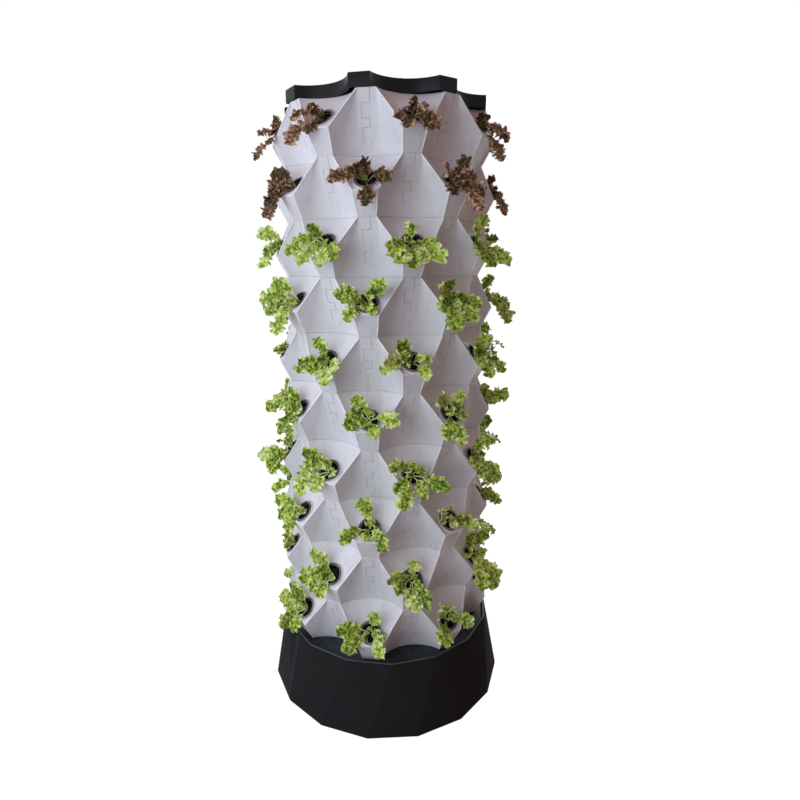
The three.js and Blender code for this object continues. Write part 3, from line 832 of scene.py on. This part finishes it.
def makeCollar(material):
    # raised ring of the scoop round the cup's rim
    inner, outer, rise = netCup["rimRadius"] + 0.4 * mm, tier["collarRadius"], tier["collarRise"]
    low = -tier["rimStandOff"] - 3 * mm
    profile = [
        (inner, low), (outer, low), (outer, rise - 0.9 * mm),
        (outer - 0.8 * mm, rise), (inner + 0.6 * mm, rise), (inner, rise - 0.6 * mm),
    ]
    return turnedMesh("collar", profile, tier["holeSides"], material)


# Lettuces

lettuce = {
    "stalkShare": 0.25,
    "stalkSteps": 6,
    "bladeSteps": 40,
    "acrossSteps": 10,
    "stalkWidth": 2 * mm,
    "bladeBase": 12 * mm,  # half of the blade's breadth: this and a share of the leaf's length
    "bladeShare": 0.11,
    "widest": 1.4,
    "sag": 1.9,
    "lobes": 3.4,
    "lobeDepth": 0.42,
    "teeth": 9,
    "toothDepth": 0.24,
    "frill": 5 * mm,
    "frillWaves": 4.9,
    "cupping": 7 * mm,
    "thickness": 0.5 * mm,
    "creaseAngle": 60,
    "crumple": 20 * mm,
    "crumpleScale": 60,
    "rootHeight": -5 * mm,
    "rootReach": 3 * mm,
    "lightFrom": -5,  # degrees; the leaves turn their faces to the light
    "turning": 4.5,
    "hearts": 3,  # small leaves in the middle of a plant
}
bronzeLettuce = lettuce | {"bladeBase": 9 * mm, "lobes": 4, "lobeDepth": 0.55, "frill": 5.5 * mm}


def lightSeen(seat, user):
    # direction to the light for a plant, more outwards for the plants at the back
    outwards = Vector((seat.translation.x, seat.translation.y, 0)).normalized()
    front = place(radians(user["lightFrom"]), 1, 0, 0)
    share = min(1, max(0, 2 * outwards.dot(front) + 1.3))
    return (outwards * 0.5 + front * share + Vector((0, 0, 0.45))).normalized()


def leafShares(length, user):
    # shares of a leaf's length at which it has a row of points
    steps = round(user["bladeSteps"] * max(0.35, length / (100 * mm)))
    stalk = np.linspace(0, user["stalkShare"], user["stalkSteps"], endpoint=False)
    return np.concatenate([stalk, np.linspace(user["stalkShare"], 1, steps + 1)])


def leafPath(seat, clock, length, rise, user, dice):
    # middle line of a leaf that bends under its own weight, with its directions along, across and outwards
    rim, turn, lean = seat.to_3x3(), radians(clock), radians(rise)
    away = rim @ Vector((sin(turn), -cos(turn), 0))
    axis = rim @ Vector((0, 0, 1))
    aim = away * cos(lean) + axis * sin(lean)
    side = axis.cross(away)
    spot = seat @ Vector((0, 0, user["rootHeight"])) + away * user["rootReach"]
    light, shares = lightSeen(seat, user), leafShares(length, user)
    sag = user["sag"] * dice.uniform(0.8, 1.2)
    drift, roll = dice.uniform(-0.35, 0.35), dice.uniform(-0.5, 0.5)
    rows = []
    for share, gap in zip(shares, np.diff(shares, append=1)):
        rows.append([list(spot), list(aim), list(side), list(aim.cross(side))])
        spot = spot + aim * (length * gap)
        pull = Vector((0, 0, -sag * (0.2 + 1.5 * share)))
        aim = (aim + (pull + side * drift) * gap).normalized()
        side = side + aim.cross(side) * ((roll - user["turning"] * side.dot(light)) * gap)
        side = (side - aim * side.dot(aim)).normalized()
    return np.array(rows)


def leafSheet(path, length, user, dice):
    # the blade as a grid of points round that line: lobed outline, toothed and frilled edges
    share = leafShares(length, user)[:, None]
    across = np.linspace(-1, 1, user["acrossSteps"] + 1)[None, :]
    edge = np.abs(across) ** 0.8
    across = np.sign(across) * edge
    blade = np.clip((share - user["stalkShare"]) / (1 - user["stalkShare"]), 0, 1)
    swell = np.clip(np.sin(np.pi * blade ** user["widest"]), 0, 1) ** 0.6

    def wave(count):
        phase = dice.uniform(0, 6.28) + (across > 0) * dice.uniform(1, 5)
        return np.sin(2 * np.pi * count * blade + phase)

    lobes, teeth = 1 - np.abs(wave(user["lobes"] / 2)), 1 - np.abs(wave(user["teeth"] / 2))
    outline = 1 - user["lobeDepth"] * lobes**1.5 * edge - user["toothDepth"] * teeth * edge**4
    breadth = min(user["bladeBase"] + user["bladeShare"] * length, 0.33 * length) * dice.uniform(0.85, 1.15)
    sideways = across * outline * (user["stalkWidth"] + breadth * swell)
    lift = user["frill"] * (wave(user["frillWaves"]) + 0.45 * wave(1.9 * user["frillWaves"])) * edge**1.8
    lift = (lift + dice.uniform(-0.7, 1) * user["cupping"] * edge**2) * swell
    slip = 0.4 * user["frill"] * wave(1.4 * user["frillWaves"]) * edge**2 * swell
    spots, aims, sides, ups = (path[:, None, k, :] for k in range(4))
    points = spots + sides * sideways[..., None] + ups * lift[..., None] + aims * slip[..., None]
    return points, np.broadcast_to(share, sideways.shape), np.broadcast_to(edge, sideways.shape)


# the lettuces that the photograph's camera sees, by tier and pocket, read one by one:
# clock angle of each leaf (0 hangs down, 90 is to the right), its length in mm and its rise in degrees
layouts = {
    (1, 7): ((180, 52, 60), (0, 66, 80), (5, 98, 28), (60, 60, 35)),
    (1, 8): ((262, 82, 48), (310, 112, 30), (335, 60, 38), (225, 46, 65)),
    (1, 1): ((180, 46, 60), (296, 68, 42), (318, 70, 34), (66, 80, 40), (46, 66, 32)),
    (1, 2): ((180, 38, 60), (330, 78, 62), (20, 86, 50), (0, 104, 20)),
    (2, 7): ((0, 88, 25), (20, 74, 45)),
    (2, 8): ((225, 80, 62), (262, 76, 60), (300, 74, 50), (338, 112, 25), (330, 88, 35)),
    (2, 1): ((180, 72, 72), (276, 98, 40), (255, 60, 50), (10, 94, 30), (104, 74, 45)),
    (2, 2): ((153, 74, 66), (255, 72, 52), (100, 62, 55), (20, 106, 28), (310, 74, 35), (40, 84, 40)),
    (2, 3): ((0, 86, 32), (200, 46, 60), (30, 60, 50)),
    (3, 7): ((160, 88, 84), (0, 96, 36), (30, 70, 50)),
    (3, 8): (
        (290, 104, 40), (266, 94, 48), (330, 92, 32), (30, 84, 34), (60, 96, 32), (232, 62, 55),
        (305, 80, 40),
    ),
    (3, 1): (
        (200, 58, 62), (284, 98, 38), (308, 96, 32), (340, 84, 32), (56, 98, 32), (75, 72, 45),
        (10, 76, 34),
    ),
    (3, 2): ((180, 80, 50), (258, 84, 40), (285, 76, 35), (8, 104, 44), (335, 88, 28)),
    (4, 7): ((0, 86, 40), (180, 60, 70)),
    (4, 8): ((232, 92, 60), (280, 112, 48), (305, 96, 40), (8, 108, 24), (345, 78, 35)),
    (4, 1): ((240, 88, 46), (150, 82, 55), (308, 76, 32), (42, 42, 45), (262, 70, 50)),
    (4, 2): (
        (215, 78, 52), (240, 74, 46), (318, 104, 28), (30, 82, 38), (70, 76, 44), (285, 66, 36),
        (345, 70, 30),
    ),
    (4, 3): ((185, 70, 55), (270, 66, 50), (10, 84, 55), (0, 104, 34)),
    (5, 7): ((0, 30, 80), (180, 28, 70)),
    (5, 8): ((200, 68, 56), (282, 88, 36), (22, 76, 30), (75, 62, 40), (330, 56, 36)),
    (5, 1): ((275, 100, 35), (215, 74, 52), (42, 62, 34), (90, 48, 50), (240, 50, 55)),
    (5, 2): ((262, 84, 42), (175, 70, 70), (5, 92, 46), (345, 78, 30), (300, 60, 40)),
    (6, 7): ((0, 62, 50), (180, 46, 60), (330, 70, 45)),
    (6, 8): ((212, 74, 48), (268, 112, 46), (345, 86, 30), (240, 64, 55), (20, 50, 40)),
    (6, 1): ((208, 72, 48), (98, 90, 38), (278, 66, 36), (30, 56, 34), (250, 56, 45)),
    (6, 2): ((218, 90, 50), (165, 68, 55), (312, 78, 28), (345, 88, 28), (60, 46, 50)),
    (6, 3): ((0, 84, 80), (180, 44, 60), (30, 54, 60)),
    (7, 7): ((185, 76, 48), (150, 68, 65), (350, 98, 60), (20, 88, 45), (0, 92, 24)),
    (7, 8): ((226, 90, 50), (275, 84, 38), (312, 104, 30), (345, 72, 32), (250, 70, 46)),
    (7, 1): ((238, 80, 48), (332, 98, 26), (300, 72, 30), (60, 100, 32), (25, 70, 32)),
    (7, 2): ((172, 84, 70), (0, 92, 44), (318, 84, 34), (280, 60, 45)),
    (8, 7): ((180, 76, 70), (0, 86, 56)),
    (8, 8): ((262, 100, 48), (285, 84, 40), (335, 74, 30), (300, 62, 36)),
    (8, 1): ((190, 88, 46), (280, 84, 34), (62, 74, 36), (170, 40, 60)),
    (8, 2): ((214, 72, 52), (230, 52, 50), (68, 82, 36), (85, 66, 44)),
    (8, 3): ((170, 90, 72), (0, 70, 58), (30, 54, 50)),
    (9, 7): ((0, 32, 75), (200, 28, 70)),
    (9, 8): ((218, 84, 50), (272, 92, 40), (300, 76, 34), (350, 68, 30), (320, 56, 34)),
    (9, 1): ((185, 70, 52), (245, 84, 46), (330, 72, 32), (30, 78, 34), (352, 76, 28), (275, 62, 40)),
    (9, 2): ((165, 84, 56), (195, 78, 46), (322, 98, 30), (5, 106, 44), (350, 108, 24), (230, 70, 48)),
    (10, 7): ((0, 52, 50), (180, 44, 60)),
    (10, 8): ((215, 84, 50), (255, 94, 46), (290, 70, 38), (325, 94, 32), (8, 70, 28)),
    (10, 1): ((165, 76, 50), (262, 92, 40), (294, 86, 30), (40, 68, 34), (75, 46, 40)),
    (10, 2): ((190, 72, 52), (290, 76, 38), (78, 76, 40), (318, 70, 32), (225, 54, 45)),
    (10, 3): ((0, 40, 60), (180, 36, 70)),
}


def plantLeaves(number, i):
    dice = random.Random(100 * number + i)
    leaves = list(layouts.get((number, i + 1), ()))
    if not leaves:
        count = dice.choice((5, 6, 7))
        start = dice.uniform(-25, 25)
        for k in range(count):
            clock = start + 360 * k / count + dice.uniform(-20, 20)
            leaves.append((clock, dice.uniform(64, 98), dice.uniform(30, 60)))
    for k in range(lettuce["hearts"]):
        leaves.append((dice.uniform(-180, 180), dice.uniform(30, 48), dice.uniform(55, 80)))
    return leaves


def growLettuces(name, plants, material, seed, user):
    # plants are (matrix of the cup, leaves) pairs; one mesh for all of them
    dice = random.Random(seed)
    columns = user["acrossSteps"] + 1
    points, faces, marks = [], [], {"along": [], "across": [], "tone": []}
    for seat, leaves in plants:
        for clock, length, rise in leaves:
            path = leafPath(seat, clock, length * mm, rise, user, dice)
            grid, along, across = leafSheet(path, length * mm, user, dice)
            for row in range(len(path) - 1):
                start = len(points) + row * columns
                for a in range(start, start + columns - 1):
                    faces.append((a, a + 1, a + columns + 1, a + columns))
            points.extend(grid.reshape(-1, 3).tolist())
            marks["along"].extend(along.ravel().tolist())
            marks["across"].extend(across.ravel().tolist())
            marks["tone"].extend([dice.random()] * along.size)
    mesh = makeMesh(name, points, faces)
    for label, values in marks.items():
        mesh.attributes.new(label, "FLOAT", "POINT").data.foreach_set("value", values)
    thing = showObject(name, mesh)
    values = {"Crumple": user["crumple"], "Crumple Scale": user["crumpleScale"], "Seed": float(seed)}
    runTree(thing, leafTree(), values | {"Finish": material})
    modify(thing, "SOLIDIFY", thickness=user["thickness"], offset=0)
    return showObject(name, smoothed(evaluatedMesh(thing), user["creaseAngle"]))


def buildTiers(materials, foliage):
    white, dark = materials["towerWhite"], materials["jointShadow"]
    shell = cutWith(showObject("tier_shell", tierShell(white)), seamCutters(dark))
    shell = cutWith(shell, holeCutters(white))
    seats = [pocketMatrix(i, tier["rimStandOff"]) for i in pockets]
    collar = makeCollar(white)
    # the beads are a lighter white than the shell: painted highlight on the rounded edges
    beads = smoothed(ridgeBeads(materials["towerEdgeHighlight"]), tier["beadCrease"])
    parts = [smoothed(shell.data, tier["creaseAngle"]), beads] + [(collar, seat) for seat in seats]
    whole = joinedMesh("tier", parts)
    dropObject(shell)
    cup = makeNetCup(netCup, materials)
    for number in range(1, tier["count"] + 1):
        stand = tierMatrix(number)
        mesh = whole.copy()
        mesh.transform(stand)
        ring = showObject("ring_%02d" % number, mesh)
        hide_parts("tier_%02d" % number)
        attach(ring, "tower")
        kind, slot, shape = "lettuceGreen", "green_foliage", lettuce
        if number <= tier["bronzeCount"]:
            kind, slot, shape = "lettuceBronze", "bronze_foliage", bronzeLettuce
        finish = foliage[kind]
        places = [stand @ seat for seat in seats]
        plants = [(places[i], plantLeaves(number, i)) for i in pockets]
        if number <= tier["looseCount"]:
            for i in pockets:
                label = "%02d_%d" % (number, i + 1)
                basket = cup.copy()
                basket.transform(places[i])
                basket = showObject("net_cup_" + label, basket)
                plant = growLettuces("lettuce_" + label, [plants[i]], finish, 10 * number + i, shape)
                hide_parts("planted_cup_" + label)
                for piece in (basket, plant):
                    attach(piece, "cup_" + label)
        else:
            baskets = joinedMesh("net_cups", [(cup, spot) for spot in places])
            baskets = showObject("net_cups_%02d" % number, baskets)
            lettuces = growLettuces("lettuces_%02d" % number, plants, finish, 10 * number, shape)
            for piece in (baskets, lettuces):
                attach(piece, "tower")
    print("tiers, net cups and lettuces made")


# Tank and deck

tank = {
    "sides": 16,
    "height": 185 * mm,
    "rimRadius": 296.5 * mm,
    "baseRadius": 330 * mm,
    "wall": 6 * mm,
    "floor": 6 * mm,
    "bevel": 1.6 * mm,
    "bevelSteps": 3,
    "bevelFrom": 8,  # degrees between two faces
    "creaseAngle": 20,
    "ledgeTop": 166.7 * mm,
    "ledgeThickness": 5 * mm,
    "ledgeWidth": 14 * mm,
    "beadRadius": 2.1 * mm,
    "partingLines": (-47, 133),  # degrees; a pair of raised lines at each
    "lineSpacing": 7 * mm,
    "lineRadius": 0.7 * mm,
    "lineSteps": 24,
}


def ringOf(sides, radius, turn, height):
    return [place(turn + 2 * pi * i / sides, radius, 0, height) for i in range(sides)]


def bead(name, routes, closed, radius, material):
    # round beads along straight-sided routes, as one mesh
    curve = bpy.data.curves.new(name, "CURVE")
    curve.dimensions = "3D"
    for route in routes:
        spline = curve.splines.new("POLY")
        spline.points.add(len(route) - 1)
        spline.use_cyclic_u = closed
        for point, spot in zip(spline.points, route):
            point.co = (*spot, 1)
    thing = showObject(name, curve)
    runTree(thing, sweepTree(), {"Bead Radius": radius, "Bead Sides": 10, "Finish": material})
    return evaluatedMesh(thing)


def partingRoutes(user, body):
    # the lines follow the slope of the wall from just above the floor to just under the rim
    wall = BVHTree.FromPolygons([v.co for v in body.vertices], [list(f.vertices) for f in body.polygons])
    routes = []
    for angle in user["partingLines"]:
        inwards = place(radians(angle), -1, 0, 0)
        for shift in (-0.5, 0.5):
            route = []
            for step in range(user["lineSteps"] + 1):
                height = 4 * mm + (user["height"] - 12 * mm) * step / user["lineSteps"]
                start = place(radians(angle), 500 * mm, shift * user["lineSpacing"], height)
                route.append(wall.ray_cast(start, inwards)[0])
            routes.append(route)
    return routes


def makeTank(user, materials):
    sides, wall, half = user["sides"], user["wall"], pi / user["sides"]
    rimRadius, baseRadius, top = user["rimRadius"], user["baseRadius"], user["height"]
    rings = [
        ringOf(sides, baseRadius, 0, 0),
        ringOf(sides, rimRadius, half, top),
        ringOf(sides, rimRadius - wall, half, top),
        ringOf(sides, baseRadius - wall, 0, user["floor"]),
    ]
    points = [spot for ring in rings for spot in ring]
    base, rim, mouth, floor = (list(range(k * sides, (k + 1) * sides)) for k in range(4))
    faces = [tuple(base[::-1]), tuple(floor)]
    for i in range(sides):
        j = (i + 1) % sides
        faces += [(base[i], base[j], rim[i]), (base[j], rim[j], rim[i])]
        faces += [(floor[i], mouth[i], floor[j]), (floor[j], mouth[i], mouth[j])]
        faces.append((rim[i], rim[j], mouth[j], mouth[i]))
    shell = showObject("tank_shell", makeMesh("tank_shell", points, faces, materials["tankBlack"]))
    rounding = {"width": user["bevel"], "segments": user["bevelSteps"]}
    modify(shell, "BEVEL", limit_method="ANGLE", angle_limit=radians(user["bevelFrom"]), **rounding)
    body = evaluatedMesh(shell)
    # the rim bead and the parting lines get the lighter grey: painted highlight
    rimRoute = ringOf(sides, rimRadius - user["beadRadius"] * 0.6, half, top - user["beadRadius"] * 0.5)
    rimBead = bead("rim_bead", [rimRoute], True, user["beadRadius"], materials["rimHighlightGrey"])
    lines = bead("parting_lines", partingRoutes(user, body), False, user["lineRadius"], materials["rimHighlightGrey"])
    inner, outer = rimRadius - wall - user["ledgeWidth"], rimRadius - wall / 2
    profile = boxProfile(inner, outer, user["ledgeTop"] - user["ledgeThickness"], user["ledgeTop"])
    ledge = turnedMesh("ledge", profile, sides, materials["tankBlack"])
    whole = joinedMesh("tank_body", [body, rimBead, lines, (ledge, Matrix.Rotation(half, 4, "Z"))])
    piece = showObject("tank_body", smoothed(whole, user["creaseAngle"]))
    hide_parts("water_tank")
    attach(piece, "tower")
    print("tank made")


deck = {
    "sides": 16,
    "radius": 290 * mm,
    "edge": 0.8 * mm,
    "top": 173 * mm,
    "thickness": 6 * mm,
    "curbRadius": 205 * mm,
    "curbWall": 4 * mm,
    "curbRise": 8 * mm,
    "drainRadius": 70 * mm,
}


def makeDeck(user, materials):
    top, low, edge = user["top"], user["top"] - user["thickness"], user["edge"]
    curb, wall, rise = user["curbRadius"], user["curbWall"], user["curbRise"]
    drain, outer = user["drainRadius"], user["radius"]
    profile = [
        (drain, low), (outer - edge, low), (outer, low + edge), (outer, top - edge), (outer - edge, top),
        (curb + edge, top), (curb, top + edge), (curb, top + rise - edge), (curb - edge, top + rise),
        (curb - wall + edge, top + rise), (curb - wall, top + rise - edge), (curb - wall, top),
        (drain + edge, top), (drain, top - edge),
    ]
    plate = turnedMesh("deck_plate", profile, user["sides"], materials["deckTeal"])
    plate.transform(Matrix.Rotation(pi / user["sides"], 4, "Z"))
    piece = showObject("deck_plate", plate)
    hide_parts("tank_deck")
    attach(piece, "tower")
    print("deck made")


# Cap

cap = {
    "base": 1573.3 * mm,
    "height": 32 * mm,
    "overhang": 3.4 * mm,
    "wall": 3 * mm,
    "turn": -3.3,  # degrees
    "rounding": 2.2 * mm,
    "roundSteps": 4,
    "creaseAngle": 30,
    "arcSteps": 28,
    "ribs": 4,
    "ribThickness": 4 * mm,
    "ribLength": 26 * mm,
    "ribDrop": 8 * mm,
}


def makeCap(user, materials):
    out, top, wall = -user["overhang"], user["height"], user["wall"]
    soft, steps = user["rounding"], user["roundSteps"]
    # from the ceiling down the inside of the skirt, round its edge and up the outside
    rows = [(out + wall, top - wall), (out + wall, 0), (out + 0.5 * mm, 0), (out, 0.5 * mm)]
    for step in range(steps + 1):
        angle = pi / 2 * step / steps
        rows.append((out + soft * (1 - cos(angle)), top - soft * (1 - sin(angle))))
    rings = [turnedRing(inset, height, user["arcSteps"]) for inset, height in rows]
    shell = loftedMesh("cap_shell", rings, materials["capBlack"])
    hollow, half = tier["hollowRadius"], user["ribThickness"] / 2
    inner, skirt = hollow - user["ribLength"], hollow + user["overhang"] - wall / 2
    step, drop, high = hollow - tier["wall"] - 0.5 * mm, -user["ribDrop"], top - wall / 2
    outline = [(inner, drop), (step, drop), (step, 0), (skirt, 0), (skirt, high), (inner, high)]
    rings = [[place(0, radius, side, height) for radius, height in outline] for side in (-half, half)]
    rib = showObject("cap_rib", loftedMesh("cap_rib", rings))
    runTree(rib, spokeTree(), {"Rib Count": user["ribs"], "Finish": materials["capBlack"]})
    ribs = evaluatedMesh(rib)
    whole = joinedMesh("cap_shell", [shell, (ribs, Matrix.Rotation(halfStep, 4, "Z"))])
    turn = Matrix.Rotation(radians(user["turn"]), 4, "Z")
    whole.transform(Matrix.Translation((0, 0, user["base"])) @ turn)
    piece = showObject("cap_shell", smoothed(whole, user["creaseAngle"]))
    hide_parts("top_cap")
    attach(piece, "cap")
    print("cap made")


# Pieces inside

insideFinishes = {
    "pipeGrey": ("riser_lower", "riser_coupling", "riser_upper", "spreader_dish"),
    "pumpBlack": ("pump_housing", "pump_strainer"),
    "impellerNylon": ("pump_impeller",),
}


def finishInside(user, materials):
    for finish, nodes in user.items():
        for node in nodes:
            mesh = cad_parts[node].data
            mesh.materials.clear()
            mesh.materials.append(materials[finish])
    print("inner pieces finished")


bpy.context.scene.view_settings.view_transform = "Standard"
makeCamera(photoView)
makeLights(lighting)
makeWorld(lighting)
makeFloor(lighting)
plasticFinishes = makeFinishes(mouldedPlasticGroup(plasticPattern), plastics, plasticCommon)
foliageFinishes = makeFinishes(foliageGroup(leafPattern), foliages, foliageCommon)
buildTiers(plasticFinishes, foliageFinishes)
makeTank(tank, plasticFinishes)
makeDeck(deck, plasticFinishes)
makeCap(cap, plasticFinishes)
finishInside(insideFinishes, plasticFinishes)
